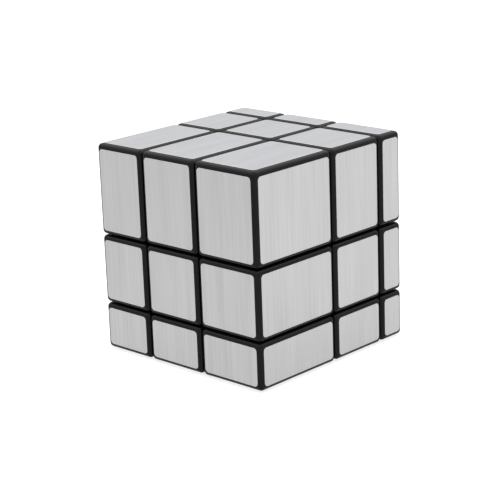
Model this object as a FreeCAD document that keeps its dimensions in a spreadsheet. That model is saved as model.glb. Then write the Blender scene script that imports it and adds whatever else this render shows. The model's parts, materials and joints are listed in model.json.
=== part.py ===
"""Mirror block cube: a 3 x 3 x 3 twisting puzzle whose layers differ in depth instead of colour.

Frame: millimetres, +Z up, front towards -Y, right towards +X, origin under the middle of the
bottom face. All six layers turn about axes through one pivot, the middle of the core spider.

How it holds together: every layer is the part of the cube beyond a cut across its own axis. The
cut lies closer to the pivot in the two hidden spherical shells (feet, then flanges) than at the
surface, so each corner's foot is caught under its edges' flanges, each edge's foot is caught
under its centres' flanges, and each centre is held to the core by a sprung screw.
"""
import FreeCAD, Part
import itertools
import os
import Sketcher

Vector = FreeCAD.Vector

# ---------------------------------------------------------------- driving dimensions, in mm
DIMENSIONS = (
    # layers
    ("middle_layer", "19", "depth of the middle layer along every axis"),
    ("right_layer", "21", "depth of the right layer"),
    ("left_layer", "17", "depth of the left layer"),
    ("front_layer", "29", "depth of the front layer"),
    ("back_layer", "9", "depth of the back layer"),
    ("up_layer", "25", "depth of the up layer"),
    ("down_layer", "13", "depth of the down layer"),
    ("layer_gap", "0.25", "running gap between two layers"),
    # blocks and stickers
    ("edge_round", "1.2", "rounding of every edge of a block"),
    ("wall", "1.3", "wall of the hollow blocks"),
    ("film", "0.2", "thickness of a sticker, adhesive included"),
    ("film_corner", "1.1", "corner radius of a sticker"),
    ("top_margin", "0.15", "extra bare plastic beside the stickers along the cube's top edges"),
    # hidden shells about the pivot
    ("foot_cut", "5.5", "layer cut inside the foot shell, from the pivot"),
    ("flange_cut", "7.5", "layer cut inside the flange shell, from the pivot"),
    ("foot_inner", "12", "inside radius of the foot shell"),
    ("foot_outer", "15.2", "radius where the feet end and the flanges begin"),
    ("flange_outer", "18.25", "radius where the flanges end and the blocks begin"),
    ("shell_split", "19.55", "radius of the joint between a hollow block and its stalk"),
    # centre bases and caps
    ("stem_radius", "4.6", "stem of a centre base"),
    ("stem_start", "8.3", "end of the stem, from the pivot"),
    ("column_start", "10.9", "where the stem becomes square"),
    ("seat_depth", "10", "floor that the spring presses on, from the pivot"),
    ("seat_bore", "3.2", "radius of the bore around the spring"),
    ("screw_hole", "1.6", "radius of the clearance hole around the screw"),
    ("base_top", "16.6", "top of a centre base, where its cap sits"),
    ("snap_bore", "4", "radius of the recess for the cap's snap ring"),
    ("snap_depth", "1.8", "depth of that recess"),
    ("snap_gap", "0.05", "play of the snap ring"),
    ("snap_wall", "0.65", "wall of the snap ring"),
    # core and tension hardware
    ("core_ball", "6", "radius of the ball in the middle of the spider"),
    ("arm_radius", "4.1", "radius of an arm"),
    ("arm_end", "8.1", "end of an arm, from the pivot"),
    ("screw_tip", "2.6", "tip of the screw, from the pivot"),
    ("screw_radius", "1.3", "radius of the screw's shaft"),
    ("head_radius", "2.6", "radius of the screw's pan head"),
    ("head_height", "1.6", "height of the pan head"),
    ("slot_long", "3", "length of the cross recess"),
    ("slot_wide", "0.7", "width of the cross recess"),
    ("slot_deep", "1", "depth of the cross recess"),
    ("washer_radius", "2.9", "outside radius of the washer"),
    ("washer_hole", "1.45", "radius of the washer's hole"),
    ("washer_thick", "0.4", "thickness of the washer"),
    ("washer_seat", "14.1", "underside of the washer, from the pivot"),
    ("spring_wire", "0.3", "radius of the spring wire"),
    ("spring_coil", "2.3", "radius of the coil at the middle of the wire"),
    ("spring_turns", "4", "turns of the spring"),
    ("spring_play", "0.05", "gap between the spring and the floor of its bore"),
)

# ---------------------------------------------------------------- sides and pieces
SIDES = {
    "right": Vector(1, 0, 0),
    "left": Vector(-1, 0, 0),
    "front": Vector(0, -1, 0),
    "back": Vector(0, 1, 0),
    "up": Vector(0, 0, 1),
    "down": Vector(0, 0, -1),
}
FRONT_BACK, UP_DOWN, LEFT_RIGHT = ("front", "back"), ("up", "down"), ("left", "right")
EDGES = [
    *itertools.product(FRONT_BACK, UP_DOWN),
    *itertools.product(FRONT_BACK, LEFT_RIGHT),
    *itertools.product(UP_DOWN, LEFT_RIGHT),
]
CORNERS = list(itertools.product(FRONT_BACK, UP_DOWN, LEFT_RIGHT))

# the pivot in the part's frame, as expressions
PIVOT = (
    "(dims.left_layer - dims.right_layer) / 2",
    "(dims.front_layer - dims.back_layer) / 2",
    "dims.middle_layer / 2 + dims.down_layer",
)
HALF_GAP = "dims.layer_gap / 2"
BLOCK_CUT = "dims.middle_layer / 2"

doc = FreeCAD.newDocument("MirrorBlockCube")


def fill_sheet():
    """The spreadsheet that every size is bound to."""
    made = doc.addObject("Spreadsheet::Sheet", "dims")
    for row, (alias, value, note) in enumerate(DIMENSIONS, start=1):
        made.set(f"A{row}", alias)
        made.set(f"B{row}", value)
        made.set(f"C{row}", note)
        made.setAlias(f"B{row}", alias)
    doc.recompute()
    return made


sheet = fill_sheet()


def reach(side):
    """Expression for the distance from the pivot to the outside of a layer."""
    return f"({BLOCK_CUT} + dims.{side}_layer)"


def plastic_reach(side):
    """Expression for the distance from the pivot to the plastic under the stickers."""
    return f"({reach(side)} - dims.film)"


def bind(obj, **expressions):
    """Bind properties of an object to the spreadsheet; a dot in a property is written as __."""
    for name, expression in expressions.items():
        obj.setExpression(name.replace("__", "."), expression)


def bind_box(box, spans):
    """Bind a box to its (low, high) expressions along X, Y and Z."""
    for size, axis, (low, high) in zip(("Length", "Width", "Height"), "xyz", spans):
        box.setExpression(size, f"{high} - ({low})")
        box.setExpression(f"Placement.Base.{axis}", low)


def place_at_pivot(obj, side=None):
    """Stand an object on the pivot, with its own Z axis turned towards a side."""
    if side:
        obj.Placement.Rotation = FreeCAD.Rotation(SIDES["up"], SIDES[side])
    x, y, z = PIVOT
    bind(obj, Placement__Base__x=x, Placement__Base__y=y, Placement__Base__z=z)


def piece_spans(piece, near, half, far):
    """(low, high) expressions of a piece along X, Y and Z.

    Along the axis of one of its sides the piece runs from near to far(side); along any other
    axis it runs half to both sides of the pivot.
    """
    spans = []
    for axis in range(3):
        side = next((s for s in piece if SIDES[s][axis]), None)
        if side is None:
            spans.append((f"-({half})", f"({half})"))
        elif SIDES[side][axis] > 0:
            spans.append((near, far(side)))
        else:
            spans.append((f"-({far(side)})", f"-({near})"))
    return spans


def block_spans(piece, inset="0"):
    """Spans of a piece's visible block, drawn in by inset on every face."""
    return piece_spans(
        piece,
        f"{BLOCK_CUT} + {HALF_GAP} + {inset}",
        f"{BLOCK_CUT} - {HALF_GAP} - {inset}",
        lambda side: f"{plastic_reach(side)} - {inset}",
    )


def square_spans(half, low, high):
    """Spans of a square column about the local Z axis."""
    return [(f"-({half})", f"({half})"), (f"-({half})", f"({half})"), (low, high)]


def add_box(body, kind, name, spans):
    """A box feature, added to a body or cut from it."""
    box = body.newObject(f"PartDesign::{kind}Box", name)
    bind_box(box, spans)
    return box


def add_cylinder(body, kind, name, radius, low, high):
    """A cylinder feature about the body's Z axis, added or cut."""
    cylinder = body.newObject(f"PartDesign::{kind}Cylinder", name)
    bind(cylinder, Radius=radius, Height=f"{high} - ({low})", Placement__Base__z=low)
    return cylinder


def cut_ball(body, name, radius):
    """Cut a ball about the pivot out of a body."""
    ball = body.newObject("PartDesign::SubtractiveSphere", name)
    bind(ball, Radius=radius)


def round_edges(body, name, base, radius, edges=None):
    """Round the named edges of a feature, or all of them."""
    fillet = body.newObject("PartDesign::Fillet", name)
    fillet.Base = (base, edges or [""])
    fillet.UseAllEdges = edges is None
    bind(fillet, Radius=radius)


def edges_along(feature, direction):
    """Names of a feature's straight edges that run along a direction."""
    feature.recompute()
    found = []
    for number, edge in enumerate(feature.Shape.Edges, start=1):
        if abs(edge.tangentAt(edge.FirstParameter).dot(direction)) > 0.99:
            found.append(f"Edge{number}")
    return found


# ---------------------------------------------------------------- core and tension hardware
def core_spider():
    """Ball with six arms, each bored for a tension screw."""
    body = doc.addObject("PartDesign::Body", "core_spider")
    ball = body.newObject("PartDesign::AdditiveSphere", "core_ball")
    bind(ball, Radius="dims.core_ball")
    for side, direction in SIDES.items():
        arm = body.newObject("PartDesign::AdditiveCylinder", f"arm_{side}")
        arm.Placement.Rotation = FreeCAD.Rotation(SIDES["up"], direction)
        bind(arm, Radius="dims.arm_radius", Height="dims.arm_end")
    for side, direction in SIDES.items():
        bore = body.newObject("PartDesign::SubtractiveCylinder", f"screw_bore_{side}")
        bore.Placement.Rotation = FreeCAD.Rotation(SIDES["up"], direction)
        bind(bore, Radius="dims.screw_radius", Height="dims.arm_end - dims.screw_tip")
        for axis, part in zip("xyz", direction):
            bore.setExpression(f"Placement.Base.{axis}", f"{part:g} * dims.screw_tip")
    place_at_pivot(body)
    return body


def plane_of(body, role):
    """One of a body's own origin planes or axes."""
    return next(o for o in body.Origin.OriginFeatures if o.Role == role)


def new_sketch(body, name, role="XZ_Plane"):
    """An empty sketch on one of the body's origin planes."""
    sketch = body.newObject("Sketcher::SketchObject", name)
    sketch.AttachmentSupport = [(plane_of(body, role), "")]
    sketch.MapMode = "FlatFace"
    return sketch


def tension_screw(side):
    """Pan head screw, along the arm of a side."""
    body = doc.addObject("PartDesign::Body", f"tension_screw_{side}")
    shaft, head = sheet.screw_radius, sheet.head_radius
    tip, seat = sheet.screw_tip, sheet.washer_seat + sheet.washer_thick
    crown = seat + sheet.head_height
    sketch = new_sketch(body, f"screw_profile_{side}")
    outline = [
        Vector(0, tip, 0),
        Vector(shaft, tip, 0),
        Vector(shaft, seat, 0),
        Vector(head, seat, 0),
        Vector(head, (seat + crown) / 2, 0),
    ]
    top = Vector(0, crown, 0)
    for start, end in zip(outline, outline[1:]):
        sketch.addGeometry(Part.LineSegment(start, end))
    on_dome = Vector(head * 0.72, seat + sheet.head_height * 0.87, 0)
    sketch.addGeometry(Part.Arc(outline[-1], on_dome, top))
    sketch.addGeometry(Part.LineSegment(top, outline[0]))
    for number in range(sketch.GeometryCount):
        following = (number + 1) % sketch.GeometryCount
        sketch.addConstraint(Sketcher.Constraint("Coincident", number, 2, following, 1))
    turned = body.newObject("PartDesign::Revolution", f"screw_turned_{side}")
    turned.Profile = sketch
    turned.ReferenceAxis = (sketch, ["V_Axis"])
    turned.Angle = 360
    for number, (long, wide) in enumerate((("slot_long", "slot_wide"), ("slot_wide", "slot_long"))):
        low = "dims.washer_seat + dims.washer_thick + dims.head_height - dims.slot_deep"
        spans = [
            (f"-(dims.{long} / 2)", f"(dims.{long} / 2)"),
            (f"-(dims.{wide} / 2)", f"(dims.{wide} / 2)"),
            (low, f"{low} + 2 * dims.slot_deep"),
        ]
        add_box(body, "Subtractive", f"cross_{number}_{side}", spans)
    body.Placement.Rotation = FreeCAD.Rotation(SIDES["up"], SIDES[side])
    return body


def washer(side):
    """Washer between the screw's head and the spring."""
    body = doc.addObject("PartDesign::Body", f"washer_{side}")
    low = "dims.washer_seat"
    high = "dims.washer_seat + dims.washer_thick"
    add_cylinder(body, "Additive", f"washer_disc_{side}", "dims.washer_radius", low, high)
    add_cylinder(body, "Subtractive", f"washer_hole_{side}", "dims.washer_hole", low, high)
    body.Placement.Rotation = FreeCAD.Rotation(SIDES["up"], SIDES[side])
    return body


def tension_spring(side):
    """Compression spring between the washer and the floor of the centre's bore."""
    body = doc.addObject("PartDesign::Body", f"tension_spring_{side}")
    sketch = new_sketch(body, f"spring_wire_{side}")
    bottom = sheet.seat_depth + sheet.spring_play + sheet.spring_wire
    sketch.addGeometry(
        Part.Circle(Vector(sheet.spring_coil, bottom, 0), Vector(0, 0, 1), sheet.spring_wire)
    )
    coil = body.newObject("PartDesign::AdditiveHelix", f"spring_coil_{side}")
    coil.Profile = sketch
    coil.ReferenceAxis = (sketch, ["V_Axis"])
    coil.Mode = "height-turns-growth"
    rise = "dims.washer_seat - dims.seat_depth - dims.spring_play - 2 * dims.spring_wire"
    bind(coil, Height=rise, Turns="dims.spring_turns")
    body.Placement.Rotation = FreeCAD.Rotation(SIDES["up"], SIDES[side])
    return body


# ---------------------------------------------------------------- centres
def centre_base(side):
    """Stem and flange that turn on the tension screw; the same moulding on all six sides."""
    body = doc.addObject("PartDesign::Body", f"{side}_centre_base")
    flange_half = f"dims.flange_cut - {HALF_GAP}"
    foot_half = f"dims.foot_cut - {HALF_GAP}"
    flange = square_spans(flange_half, "dims.column_start", "dims.base_top")
    add_box(body, "Additive", f"flange_{side}", flange)
    cut_ball(body, f"foot_room_{side}", f"dims.foot_outer + {HALF_GAP}")
    column = square_spans(foot_half, "dims.column_start", "dims.base_top")
    add_box(body, "Additive", f"column_{side}", column)
    for kind, name, radius, low, high in (
        ("Additive", "stem", "stem_radius", "dims.stem_start", "dims.column_start + 1"),
        ("Subtractive", "screw_hole", "screw_hole", "dims.stem_start", "dims.base_top"),
        ("Subtractive", "spring_bore", "seat_bore", "dims.seat_depth", "dims.base_top"),
        ("Subtractive", "snap_recess", "snap_bore", "dims.base_top - dims.snap_depth",
         "dims.base_top"),
    ):
        add_cylinder(body, kind, f"{name}_{side}", f"dims.{radius}", low, high)
    place_at_pivot(body, side)
    return body


def centre_cap(side):
    """Hollow block that snaps over a centre base; its depth follows its layer."""
    body = doc.addObject("PartDesign::Body", f"{side}_centre_cap")
    face = plastic_reach(side)
    half = f"{BLOCK_CUT} - {HALF_GAP}"
    block = add_box(
        body, "Additive", f"block_{side}", square_spans(half, f"{BLOCK_CUT} + {HALF_GAP}", face)
    )
    round_edges(body, f"block_round_{side}", block, "dims.edge_round")
    cut_ball(body, f"flange_room_{side}", f"dims.flange_outer + {HALF_GAP}")
    flange_half = f"dims.flange_cut - {HALF_GAP}"
    base_room = square_spans(flange_half, "dims.column_start", "dims.base_top")
    add_box(body, "Subtractive", f"base_room_{side}", base_room)
    floor = square_spans(flange_half, "dims.base_top", face)
    add_box(body, "Additive", f"floor_{side}", floor)
    ring_start = "dims.base_top - dims.snap_depth + dims.snap_gap"
    ring = "dims.snap_bore - dims.snap_gap"
    add_cylinder(body, "Additive", f"snap_ring_{side}", ring, ring_start, "dims.base_top + 0.1")
    floor_top = "dims.base_top + dims.wall"
    ceiling = f"{face} - dims.wall"
    depth = sheet.middle_layer / 2 + sheet.get(f"{side}_layer") - sheet.film - sheet.base_top
    hollow = depth > 3 * sheet.wall
    if hollow:
        add_box(body, "Subtractive", f"hollow_{side}",
                square_spans(f"{half} - dims.wall", floor_top, ceiling))
    ring_bore_end = floor_top if hollow else "dims.base_top"
    add_cylinder(body, "Subtractive", f"ring_bore_{side}", f"{ring} - dims.snap_wall",
                 ring_start, ring_bore_end)
    place_at_pivot(body, side)
    return body


# ---------------------------------------------------------------- edges and corners
def shared_ball(name, radius):
    """A ball about the pivot that the stalks are cut with."""
    ball = doc.addObject("Part::Sphere", name)
    bind(ball, Radius=radius)
    return ball


BALLS = {
    "foot_inside": shared_ball("foot_inside", f"dims.foot_inner + {HALF_GAP}"),
    "foot_outside": shared_ball("foot_outside", f"dims.foot_outer - {HALF_GAP}"),
    "flange_inside": shared_ball("flange_inside", f"dims.foot_outer + {HALF_GAP}"),
    "flange_outside": shared_ball("flange_outside", f"dims.flange_outer - {HALF_GAP}"),
    "block_inside": shared_ball("block_inside", f"dims.flange_outer + {HALF_GAP}"),
    "stalk_outside": shared_ball("stalk_outside", "dims.shell_split"),
}


def between(name, solid, inner, outer):
    """The part of a solid between two of the shared balls."""
    common = doc.addObject("Part::Common", f"{name}_within")
    common.Base = solid
    common.Tool = BALLS[outer]
    cut = doc.addObject("Part::Cut", f"{name}_zone")
    cut.Base = common
    cut.Tool = BALLS[inner]
    return cut


def stalk(piece, name):
    """The inner moulding of an edge or corner: foot, neck, flange, neck and mounting plate."""
    zones = (
        # zone, cut towards its sides, cut across them, inner ball, outer ball
        ("foot", "dims.foot_cut", "dims.foot_cut", "foot_inside", "foot_outside"),
        ("low_neck", "dims.flange_cut", "dims.foot_cut", "foot_inside", "flange_outside"),
        ("flange", "dims.flange_cut", "dims.flange_cut", "flange_inside", "flange_outside"),
        ("high_neck", BLOCK_CUT, "dims.flange_cut", "flange_inside", "stalk_outside"),
    )
    solids = []
    for zone, near, across, inner, outer in zones:
        box = doc.addObject("Part::Box", f"{name}_{zone}")
        spans = piece_spans(
            piece, f"{near} + {HALF_GAP}", f"{across} - {HALF_GAP}", lambda side: "dims.shell_split"
        )
        bind_box(box, spans)
        solids.append(between(f"{name}_{zone}", box, inner, outer))
    block = doc.addObject("PartDesign::Body", f"{name}_plate_block")
    box = add_box(block, "Additive", f"{name}_plate_box", block_spans(piece))
    round_edges(block, f"{name}_plate_round", box, "dims.edge_round")
    solids.append(between(f"{name}_plate", block, "block_inside", "stalk_outside"))
    fuse = doc.addObject("Part::MultiFuse", f"{name}_stalk")
    fuse.Shapes = solids
    fuse.Refine = True
    return fuse


def block_shell(piece, name):
    """The hollow outer moulding of an edge or corner, open towards its stalk."""
    body = doc.addObject("PartDesign::Body", f"{name}_shell")
    block = add_box(body, "Additive", f"{name}_block", block_spans(piece))
    round_edges(body, f"{name}_round", block, "dims.edge_round")
    cut_ball(body, f"{name}_stalk_room", "dims.shell_split")
    add_box(body, "Subtractive", f"{name}_hollow", block_spans(piece, "dims.wall"))
    return body


# ---------------------------------------------------------------- stickers
def shorten(spans, side, length):
    """Draw in the end of some spans that faces a side."""
    axis = next(a for a in range(3) if SIDES[side][a])
    low, high = spans[axis]
    positive = SIDES[side][axis] > 0
    spans[axis] = (low, f"{high} - {length}") if positive else (f"{low} + {length}", high)


def sticker(piece, side, name):
    """A film sticker on the flat of one face of a piece."""
    body = doc.addObject("PartDesign::Body", f"{name}_film_{side}")
    spans = block_spans(piece, "dims.edge_round")
    for other in piece:
        if other != side and "up" in (other, side):
            shorten(spans, other, "dims.top_margin")
    axis = next(a for a in range(3) if SIDES[side][a])
    low, high = plastic_reach(side), reach(side)
    spans[axis] = (low, high) if SIDES[side][axis] > 0 else (f"-{high}", f"-{low}")
    sheet_of_film = add_box(body, "Additive", f"{name}_sheet_{side}", spans)
    edges = edges_along(sheet_of_film, SIDES[side])
    round_edges(body, f"{name}_corners_{side}", sheet_of_film, "dims.film_corner", edges)
    return body


# ---------------------------------------------------------------- assembly
def grouped(name, members):
    """One named node that holds several separate solids."""
    group = doc.addObject("Part::Compound", name)
    group.Links = members
    place_at_pivot(group)
    return group


def build():
    """All the nodes of the puzzle, in order."""
    nodes = [core_spider()]
    hardware = [make(side) for side in SIDES for make in (tension_screw, washer, tension_spring)]
    nodes.append(grouped("tension_hardware", hardware))
    for side in SIDES:
        nodes.append(centre_base(side))
        nodes.append(centre_cap(side))
        film = sticker((side,), side, f"{side}_centre")
        nodes.append(grouped(f"{side}_centre_sticker", [film]))
    for kind, pieces in (("edge", EDGES), ("corner", CORNERS)):
        for piece in pieces:
            name = "_".join((*piece, kind))
            nodes.append(grouped(name, [block_shell(piece, name), stalk(piece, name)]))
            films = [sticker(piece, side, name) for side in piece]
            nodes.append(grouped(f"{name}_stickers", films))
    for node in nodes:
        node.Label = node.Name
    return nodes


def check(nodes):
    """Stop if any object failed, or if a node's shape is missing, broken or in too many pieces."""
    for obj in doc.Objects:
        if "Invalid" in obj.State or "Error" in obj.State:
            raise RuntimeError(f"{obj.Label} failed: {obj.State}")
    for node in nodes:
        shape = node.Shape
        if shape.isNull() or not shape.isValid():
            raise RuntimeError(f"{node.Label} has no valid shape")
        expected = len(node.Links) if hasattr(node, "Links") else 1
        if len(shape.Solids) != expected:
            raise RuntimeError(f"{node.Label} has {len(shape.Solids)} solids, not {expected}")


nodes = build()
doc.recompute()
check(nodes)
os.makedirs("parts", exist_ok=True)
for node in nodes:
    node.Shape.exportStep(os.path.join("parts", f"{node.Label}.step"))
volume = sum(node.Shape.Volume for node in nodes)
print(f"{len(nodes)} nodes, {sum(len(n.Shape.Solids) for n in nodes)} solids, {volume:.0f} mm3")
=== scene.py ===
"""Looks of the mirror block cube: brushed silver film stickers on semi-gloss black blocks.

Metres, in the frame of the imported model: +Z up, front towards -Y, right towards +X. The blocks and
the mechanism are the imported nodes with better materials; the stickers are modelled here.
"""

import json
import math
import random

import bpy
from mathutils import Matrix, Vector

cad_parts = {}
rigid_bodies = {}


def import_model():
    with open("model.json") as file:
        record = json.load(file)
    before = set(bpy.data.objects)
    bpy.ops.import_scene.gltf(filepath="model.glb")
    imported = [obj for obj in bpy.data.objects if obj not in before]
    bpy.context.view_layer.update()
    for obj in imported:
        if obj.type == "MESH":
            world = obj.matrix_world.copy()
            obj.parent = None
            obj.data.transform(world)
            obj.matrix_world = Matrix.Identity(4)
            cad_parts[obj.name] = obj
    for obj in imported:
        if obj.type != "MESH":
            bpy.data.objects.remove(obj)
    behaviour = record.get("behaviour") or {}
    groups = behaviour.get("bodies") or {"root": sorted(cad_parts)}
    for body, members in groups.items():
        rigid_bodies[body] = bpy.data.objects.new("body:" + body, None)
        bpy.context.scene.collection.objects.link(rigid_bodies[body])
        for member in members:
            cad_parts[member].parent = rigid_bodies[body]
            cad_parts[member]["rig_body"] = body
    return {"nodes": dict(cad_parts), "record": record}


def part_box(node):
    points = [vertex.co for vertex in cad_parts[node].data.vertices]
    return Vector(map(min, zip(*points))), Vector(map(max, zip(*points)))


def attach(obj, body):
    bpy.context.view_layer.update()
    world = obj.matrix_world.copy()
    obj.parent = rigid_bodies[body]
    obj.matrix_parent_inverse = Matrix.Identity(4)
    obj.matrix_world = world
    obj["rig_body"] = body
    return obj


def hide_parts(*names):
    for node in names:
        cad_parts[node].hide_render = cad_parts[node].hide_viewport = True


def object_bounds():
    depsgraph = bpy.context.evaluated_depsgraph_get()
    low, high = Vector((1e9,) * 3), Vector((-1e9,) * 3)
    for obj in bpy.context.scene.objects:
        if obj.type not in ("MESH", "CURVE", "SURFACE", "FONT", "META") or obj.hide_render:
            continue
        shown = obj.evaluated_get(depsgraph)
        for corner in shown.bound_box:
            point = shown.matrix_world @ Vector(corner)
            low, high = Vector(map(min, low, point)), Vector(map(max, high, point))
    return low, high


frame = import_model()
cad_low, cad_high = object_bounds()
MM = 0.001

# ---------------------------------------------------------------- named sizes
EDGE_ROUND = 1.2 * MM        # rounding of the blocks, as in the CAD model
TOP_MARGIN = 0.15 * MM       # extra bare plastic beside the stickers along the cube's top edges
FILM_CORNER = 1.0 * MM       # corner radius of a sticker
FILM_EDGE = 0.09 * MM        # rounding of a sticker's pressed rim
FILM_DIP = 0.012 * MM        # how far the rim lies below the middle of a sticker
FILM_DIP_WIDTH = 0.7 * MM    # width of the band in which the film bends down
SMALLEST_CORNER = 0.2 * MM   # corner radius that the inner rings of a sticker keep
CORNER_STEPS = 10            # segments in a sticker's rounded corner
RIM_STEPS = 4                # segments across the rounded rim
DIP_STEPS = 4                # segments across the band that bends down
GRAIN_SEED = 57              # seed of the shifts that give every sticker its own grain
GRAIN_SPAN = 2               # how far, in metres, those shifts go

# the camera: where it stands around the cube, and where the cube's middle sits in its view
CAMERA_AZIMUTH = math.radians(43.64)
CAMERA_ELEVATION = math.radians(16.4)
CAMERA_ROLL = math.radians(-2.11)
CAMERA_DISTANCE = 446.2 * MM
MIDDLE_RIGHT_OF_AXIS = 0.56 * MM
MIDDLE_ABOVE_AXIS = 2.68 * MM
FIELD_OF_VIEW = math.radians(17.08)

# the part of a noise texture's range that is used
NOISE_LOW, NOISE_HIGH = 0.3, 0.7

# the silver film: (stretch of the noise across, along and through the grain, in waves per metre)
HAIR_STRETCH, STREAK_STRETCH, BAND_STRETCH = (9000, 110, 1), (1900, 34, 1), (300, 26, 1)
HAIR_SHARE, BAND_SHARE = 0.35, 0.6                # weights beside the streaks, which count 1
GRAIN_LOW, GRAIN_HIGH = 0.7, 1.25                 # range of that sum between dark and light
FILM_DARK, FILM_LIGHT = (0.612, 0.612, 0.612), (0.718, 0.718, 0.713)
FILM_GLOSS, FILM_ROUGH = 0.28, 0.34
FILM_ANISOTROPY = 0.5

# the sky: (height of the direction, 0 at the horizon and 1 overhead; share of the full glow)
SKY_BAND = ((0.0, 0.52), (0.35, 0.59), (0.6, 1.0), (0.8, 0.97), (1.0, 0.8))
SKY_STRENGTH = 1.36
SKY_TINT = (0.94, 0.95, 1.0)                      # tint of the low sky
TINT_ENDS = (0.3, 0.6)                            # heights between which it fades to white

# the floor that the camera sees, and the one that shows in reflections
FLOOR_HALF = 6.0
FLOOR_ROUGH = 0.6
SEEN_SHADE, SEEN_GLOW, SEEN_HEIGHT = 0.6, 0.68, -0.2 * MM
REFLECTED_SHADE, REFLECTED_HEIGHT = 0.24, -0.4 * MM
# its glow, painted light that brightens towards the back right as if a lamp lit that side of the floor:
# (place along the diagonal towards the back right, glow)
PAINTED_GLOW_DIM, PAINTED_GLOW_BRIGHT = (-0.22, 0.43), (0.10, 0.57)

# the softbox overhead
SOFTBOX_PLACE, SOFTBOX_AIM = (0.25, 0.30, 1.15), (0, 0, 0.03)
SOFTBOX_SIZE, SOFTBOX_WATTS = 1.1, 0.9

SIDES = {
    "right": Vector((1, 0, 0)),
    "left": Vector((-1, 0, 0)),
    "front": Vector((0, -1, 0)),
    "back": Vector((0, 1, 0)),
    "up": Vector((0, 0, 1)),
    "down": Vector((0, 0, -1)),
}
UPRIGHT, DEEP = Vector((0, 0, 1)), Vector((0, 1, 0))


# ---------------------------------------------------------------- materials
def new_material(name):
    """An empty node material with its shader: (material, nodes, links, shader)."""
    made = bpy.data.materials.new(name)
    made.use_nodes = True
    tree = made.node_tree
    return made, tree.nodes, tree.links, tree.nodes["Principled BSDF"]


def noise(nodes, links, coordinates, scale, detail=3.0, roughness=0.5):
    """A noise texture on some coordinates; returns its value socket."""
    made = nodes.new("ShaderNodeTexNoise")
    made.inputs["Scale"].default_value = scale
    made.inputs["Detail"].default_value = detail
    made.inputs["Roughness"].default_value = roughness
    links.new(coordinates, made.inputs["Vector"])
    return made.outputs["Fac"]


def stretched(nodes, links, coordinates, scale):
    """Coordinates scaled by a different number along each axis."""
    made = nodes.new("ShaderNodeMapping")
    made.inputs["Scale"].default_value = scale
    links.new(coordinates, made.inputs["Vector"])
    return made.outputs["Vector"]


def remap(nodes, links, value, low, high, new_low, new_high):
    """A value moved from one range to another, and held inside it."""
    made = nodes.new("ShaderNodeMapRange")
    made.inputs["From Min"].default_value = low
    made.inputs["From Max"].default_value = high
    made.inputs["To Min"].default_value = new_low
    made.inputs["To Max"].default_value = new_high
    links.new(value, made.inputs["Value"])
    return made.outputs["Result"]


def spread(nodes, links, value, new_low, new_high):
    """The used part of a noise value, spread over a new range."""
    return remap(nodes, links, value, NOISE_LOW, NOISE_HIGH, new_low, new_high)


def multiply_add(nodes, links, value, factor, added):
    """A value times a fixed factor, plus another value."""
    made = nodes.new("ShaderNodeMath")
    made.operation = "MULTIPLY_ADD"
    links.new(value, made.inputs[0])
    made.inputs[1].default_value = factor
    links.new(added, made.inputs[2])
    return made.outputs["Value"]


def blend_colours(nodes, links, factor, first, second):
    """A colour between two others."""
    made = nodes.new("ShaderNodeMix")
    made.data_type = "RGBA"
    made.inputs["A"].default_value = (*first, 1)
    made.inputs["B"].default_value = (*second, 1)
    links.new(factor, made.inputs["Factor"])
    return made.outputs["Result"]


def add_bump(nodes, links, shader, height, strength, distance):
    """Fine relief from a height value."""
    made = nodes.new("ShaderNodeBump")
    made.inputs["Strength"].default_value = strength
    made.inputs["Distance"].default_value = distance
    links.new(height, made.inputs["Height"])
    links.new(made.outputs["Normal"], shader.inputs["Normal"])


def moulded_plastic(name, dark, light, gloss, rough, specular=0.4):
    """Injection-moulded plastic: faint cloudy colour and gloss, and a fine moulded skin."""
    made, nodes, links, shader = new_material(name)
    place = nodes.new("ShaderNodeTexCoord").outputs["Object"]
    cloud = noise(nodes, links, place, 160, 4)
    colour = blend_colours(nodes, links, spread(nodes, links, cloud, 0, 1), dark, light)
    links.new(colour, shader.inputs["Base Color"])
    links.new(spread(nodes, links, cloud, gloss, rough), shader.inputs["Roughness"])
    shader.inputs["Specular IOR Level"].default_value = specular
    skin = noise(nodes, links, place, 5200, 2)
    add_bump(nodes, links, shader, skin, 0.25, 0.01 * MM)
    return made


def brushed_film():
    """Silver film with a fine brushed grain that runs along V of the stickers' UV map, in metres."""
    made, nodes, links, shader = new_material("brushed_silver_film")
    brush = nodes.new("ShaderNodeUVMap")
    brush.uv_map = "brush"
    brush = brush.outputs["UV"]
    hair = noise(nodes, links, stretched(nodes, links, brush, HAIR_STRETCH), 1, 4, 0.6)
    streak = noise(nodes, links, stretched(nodes, links, brush, STREAK_STRETCH), 1, 3, 0.55)
    band = noise(nodes, links, stretched(nodes, links, brush, BAND_STRETCH), 1, 2)
    relief = multiply_add(nodes, links, hair, HAIR_SHARE, streak)
    lines = multiply_add(nodes, links, band, BAND_SHARE, relief)
    tone = remap(nodes, links, lines, GRAIN_LOW, GRAIN_HIGH, 0, 1)
    colour = blend_colours(nodes, links, tone, FILM_DARK, FILM_LIGHT)
    links.new(colour, shader.inputs["Base Color"])
    shader.inputs["Metallic"].default_value = 1.0
    shader.inputs["Anisotropic"].default_value = FILM_ANISOTROPY
    tangent = nodes.new("ShaderNodeTangent")
    tangent.direction_type = "UV_MAP"
    tangent.uv_map = "brush"
    links.new(tangent.outputs["Tangent"], shader.inputs["Tangent"])
    links.new(spread(nodes, links, hair, FILM_GLOSS, FILM_ROUGH), shader.inputs["Roughness"])
    add_bump(nodes, links, shader, relief, 0.22, 0.012 * MM)
    return made


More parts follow.
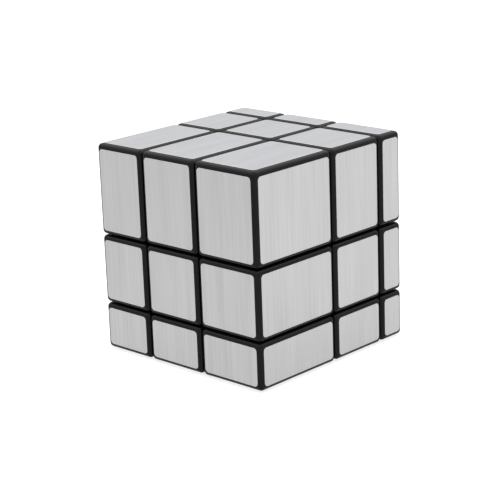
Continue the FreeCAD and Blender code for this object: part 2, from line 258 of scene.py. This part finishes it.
def plated_steel():
    """Zinc-plated steel of the screws, washers and springs."""
    made, nodes, links, shader = new_material("zinc_plated_steel")
    place = nodes.new("ShaderNodeTexCoord").outputs["Object"]
    cloud = noise(nodes, links, place, 700, 4)
    colour = blend_colours(nodes, links, cloud, (0.52, 0.53, 0.55), (0.68, 0.68, 0.67))
    links.new(colour, shader.inputs["Base Color"])
    shader.inputs["Metallic"].default_value = 1.0
    links.new(spread(nodes, links, cloud, 0.25, 0.4), shader.inputs["Roughness"])
    add_bump(nodes, links, shader, noise(nodes, links, place, 4000, 2), 0.15, 0.01 * MM)
    return made


BLOCK = moulded_plastic(
    "black_block_plastic", (0.0025, 0.0025, 0.0027), (0.0035, 0.0035, 0.0037), 0.17, 0.25, specular=0.2)
INNER = moulded_plastic("inner_plastic", (0.016, 0.016, 0.017), (0.024, 0.024, 0.025), 0.45, 0.55)
CORE = moulded_plastic("core_plastic", (0.58, 0.58, 0.56), (0.64, 0.64, 0.62), 0.45, 0.55)
STEEL = plated_steel()
FILM = brushed_film()
MATERIAL_OF_SLOT = {
    "block_plastic": BLOCK,
    "inner_plastic": INNER,
    "core_plastic": CORE,
    "steel": STEEL,
    "brushed_film": FILM,
}


def dress_nodes():
    """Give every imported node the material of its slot."""
    for row in frame["record"]["subparts"]:
        node = frame["nodes"][row["node"]]
        for place in node.material_slots:
            place.material = MATERIAL_OF_SLOT[row["material_slot"]]


# ---------------------------------------------------------------- stickers
def rounded_outline(half_u, half_v, radius):
    """Points of a rounded rectangle about its middle, anticlockwise."""
    points = []
    for quarter, (sign_u, sign_v) in enumerate(((1, 1), (-1, 1), (-1, -1), (1, -1))):
        middle_u, middle_v = sign_u * (half_u - radius), sign_v * (half_v - radius)
        for step in range(CORNER_STEPS + 1):
            turn = math.pi / 2 * (quarter + step / CORNER_STEPS)
            points.append((middle_u + radius * math.cos(turn), middle_v + radius * math.sin(turn)))
    return points


def film_rings(thickness):
    """(inset from the outline, height above the plastic) of each ring, from the bottom up."""
    rings = [(0, 0)]
    shoulder = thickness - FILM_DIP - FILM_EDGE
    for step in range(RIM_STEPS + 1):
        turn = math.pi / 2 * step / RIM_STEPS
        rings.append((FILM_EDGE * (1 - math.cos(turn)), shoulder + FILM_EDGE * math.sin(turn)))
    for step in range(1, DIP_STEPS + 1):
        share = step / DIP_STEPS
        height = thickness - FILM_DIP * (1 - share) ** 2
        rings.append((FILM_EDGE + FILM_DIP_WIDTH * share, height))
    return rings


def film_mesh(name, half_u, half_v, thickness, shift):
    """A closed sticker in its own plane, brushed along V; shift moves the grain's pattern."""
    outline_size = 4 * (CORNER_STEPS + 1)
    vertices, faces = [], []
    rings = film_rings(thickness)
    for inset, height in rings:
        radius = max(FILM_CORNER - inset, SMALLEST_CORNER)
        for u, v in rounded_outline(half_u - inset, half_v - inset, radius):
            vertices.append((u, v, height))
    for ring in range(len(rings) - 1):
        for step in range(outline_size):
            following = (step + 1) % outline_size
            low, high = ring * outline_size, (ring + 1) * outline_size
            faces.append((low + step, low + following, high + following, high + step))
    faces.append(tuple(reversed(range(outline_size))))
    top = (len(rings) - 1) * outline_size
    faces.append(tuple(range(top, top + outline_size)))
    mesh = bpy.data.meshes.new(name)
    mesh.from_pydata(vertices, [], faces)
    brush = mesh.uv_layers.new(name="brush")
    for loop in mesh.loops:
        u, v, _ = mesh.vertices[loop.vertex_index].co
        brush.data[loop.index].uv = (u + shift[0], v + shift[1])
    for face in mesh.polygons:
        face.use_smooth = len(face.vertices) == 4
    return mesh


def plane_matrix(normal, middle):
    """Turns a sticker's own plane onto a face, with its V along the direction of the brushing."""
    along = DEEP if abs(normal.z) > 0.5 else UPRIGHT
    across = along.cross(normal)
    turned = Matrix((across, along, normal)).transposed().to_4x4()
    return Matrix.Translation(middle) @ turned


def film_place(node, sides, side):
    """Middle of a sticker's underside, and its extents along X, Y and Z."""
    low, high = (Vector(corner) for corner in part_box(node))
    thickness = film_thickness()
    for other in sides:
        if other == side:
            continue
        axis = next(a for a in range(3) if SIDES[other][a])
        trim = EDGE_ROUND + thickness
        if "up" in (side, other):
            trim += TOP_MARGIN
        if SIDES[other][axis] > 0:
            high[axis] -= trim
        else:
            low[axis] += trim
    axis = next(a for a in range(3) if SIDES[side][a])
    outer = (high if SIDES[side][axis] > 0 else low)[axis]
    middle = (low + high) / 2
    middle[axis] = outer - SIDES[side][axis] * thickness
    return middle, high - low


def film_thickness():
    """Thickness of a sticker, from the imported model."""
    low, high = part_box("up_centre_sticker")
    return high.z - low.z


def make_stickers():
    """A film sticker on every visible face of every piece."""
    chance = random.Random(GRAIN_SEED)
    thickness = film_thickness()
    for node in sorted(frame["nodes"]):
        if "sticker" not in node:
            continue
        body = frame["nodes"][node]["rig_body"]
        sides = [word for word in node.split("_") if word in SIDES]
        for side in sides:
            middle, size = film_place(node, sides, side)
            place = plane_matrix(SIDES[side], middle)
            across, along = place.col[0].to_3d(), place.col[1].to_3d()
            half_u = abs(across.dot(size)) / 2
            half_v = abs(along.dot(size)) / 2
            shift = (chance.uniform(0, GRAIN_SPAN), chance.uniform(0, GRAIN_SPAN))
            name = f"{node.rsplit('_', 1)[0]}_film_{side}"
            mesh = film_mesh(name, half_u, half_v, thickness, shift)
            mesh.transform(place)
            mesh.materials.append(FILM)
            film = bpy.data.objects.new(name, mesh)
            bpy.context.scene.collection.objects.link(film)
            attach(film, body)
            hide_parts(node)


# ---------------------------------------------------------------- camera, light and floor
def make_camera():
    """The camera at the photograph's viewing angle."""
    forward = Vector((
        -math.sin(CAMERA_AZIMUTH) * math.cos(CAMERA_ELEVATION),
        math.cos(CAMERA_AZIMUTH) * math.cos(CAMERA_ELEVATION),
        -math.sin(CAMERA_ELEVATION),
    ))
    level = Vector((math.cos(CAMERA_AZIMUTH), math.sin(CAMERA_AZIMUTH), 0))
    right = Matrix.Rotation(-CAMERA_ROLL, 3, forward) @ level
    above = right.cross(forward)
    middle = (Vector(cad_low) + Vector(cad_high)) / 2
    place = middle - forward * CAMERA_DISTANCE
    place -= right * MIDDLE_RIGHT_OF_AXIS
    place -= above * MIDDLE_ABOVE_AXIS
    turned = Matrix((right, above, -forward)).transposed().to_4x4()
    camera = bpy.data.objects.new("camera", bpy.data.cameras.new("camera"))
    camera.matrix_world = Matrix.Translation(place) @ turned
    camera.data.sensor_fit = "HORIZONTAL"
    camera.data.angle = FIELD_OF_VIEW
    camera.data.clip_start = 10 * MM
    bpy.context.scene.collection.objects.link(camera)
    bpy.context.scene.camera = camera


def painted_floor_glow(nodes, links):
    """Painted light on the floor: a glow that rises along the floor's diagonal, brighter towards the
    back right as if a lamp lit that side.
    """
    (start, dim), (end, bright) = PAINTED_GLOW_DIM, PAINTED_GLOW_BRIGHT
    along = nodes.new("ShaderNodeVectorMath")
    along.operation = "DOT_PRODUCT"
    along.inputs[1].default_value = (math.sqrt(0.5), math.sqrt(0.5), 0)
    links.new(nodes.new("ShaderNodeTexCoord").outputs["Object"], along.inputs[0])
    return remap(nodes, links, along.outputs["Value"], start, end, dim, bright)


def make_floor(name, shade, height, seen):
    """A plain pale floor; one is seen by the camera, the other only lights the cube and shows in it, and
    its glow is painted light that brightens towards the back right.
    """
    made, nodes, links, shader = new_material(name)
    shader.inputs["Base Color"].default_value = (shade, shade, shade, 1)
    shader.inputs["Roughness"].default_value = FLOOR_ROUGH
    shader.inputs["Emission Color"].default_value = (1, 1, 1, 1)
    if seen:
        shader.inputs["Emission Strength"].default_value = SEEN_GLOW
    else:
        # painted light: this floor's glow brightens towards the back right, standing in for a lamp on
        # that side
        links.new(painted_floor_glow(nodes, links), shader.inputs["Emission Strength"])
    corners = [(x * FLOOR_HALF, y * FLOOR_HALF, height) for x, y in ((-1, -1), (1, -1), (1, 1), (-1, 1))]
    mesh = bpy.data.meshes.new(name)
    mesh.from_pydata(corners, [], [(0, 1, 2, 3)])
    mesh.materials.append(made)
    floor = bpy.data.objects.new(name, mesh)
    bpy.context.scene.collection.objects.link(floor)
    floor.visible_camera = seen
    floor.visible_diffuse = floor.visible_glossy = floor.visible_shadow = not seen


def soft_light(name, place, aim, size, watts):
    """A square softbox that points at a spot."""
    light = bpy.data.lights.new(name, "AREA")
    light.shape = "SQUARE"
    light.size = size
    light.energy = watts
    lamp = bpy.data.objects.new(name, light)
    direction = Vector(aim) - Vector(place)
    turned = direction.to_track_quat("-Z", "Y").to_matrix().to_4x4()
    lamp.matrix_world = Matrix.Translation(place) @ turned
    bpy.context.scene.collection.objects.link(lamp)


def make_sky():
    """Studio surroundings: a broad band of soft light above the cube, dimmer towards the horizon."""
    world = bpy.data.worlds.new("studio")
    bpy.context.scene.world = world
    world.use_nodes = True
    nodes, links = world.node_tree.nodes, world.node_tree.links
    background = nodes["Background"]
    place = nodes.new("ShaderNodeTexCoord").outputs["Generated"]
    split = nodes.new("ShaderNodeSeparateXYZ")
    links.new(place, split.inputs["Vector"])
    band = nodes.new("ShaderNodeValToRGB")
    stops = band.color_ramp.elements
    for height, _ in SKY_BAND[1:-1]:
        stops.new(height)
    for stop, (height, glow) in zip(stops, SKY_BAND):
        stop.position, stop.color = height, (glow, glow, glow, 1)
    links.new(split.outputs["Z"], band.inputs["Fac"])
    tint = remap(nodes, links, split.outputs["Z"], *TINT_ENDS, 0, 1)
    tinted = nodes.new("ShaderNodeMix")
    tinted.data_type = "RGBA"
    tinted.blend_type = "MULTIPLY"
    tinted.inputs["Factor"].default_value = 1
    links.new(band.outputs["Color"], tinted.inputs["A"])
    links.new(blend_colours(nodes, links, tint, SKY_TINT, (1, 1, 1)), tinted.inputs["B"])
    links.new(tinted.outputs["Result"], background.inputs["Color"])
    background.inputs["Strength"].default_value = SKY_STRENGTH


dress_nodes()
make_stickers()
make_camera()
make_floor("floor", SEEN_SHADE, SEEN_HEIGHT, True)
make_floor("floor_in_reflections", REFLECTED_SHADE, REFLECTED_HEIGHT, False)
make_sky()
soft_light("softbox", SOFTBOX_PLACE, SOFTBOX_AIM, SOFTBOX_SIZE, SOFTBOX_WATTS)
bpy.context.scene.view_settings.view_transform = "Standard"
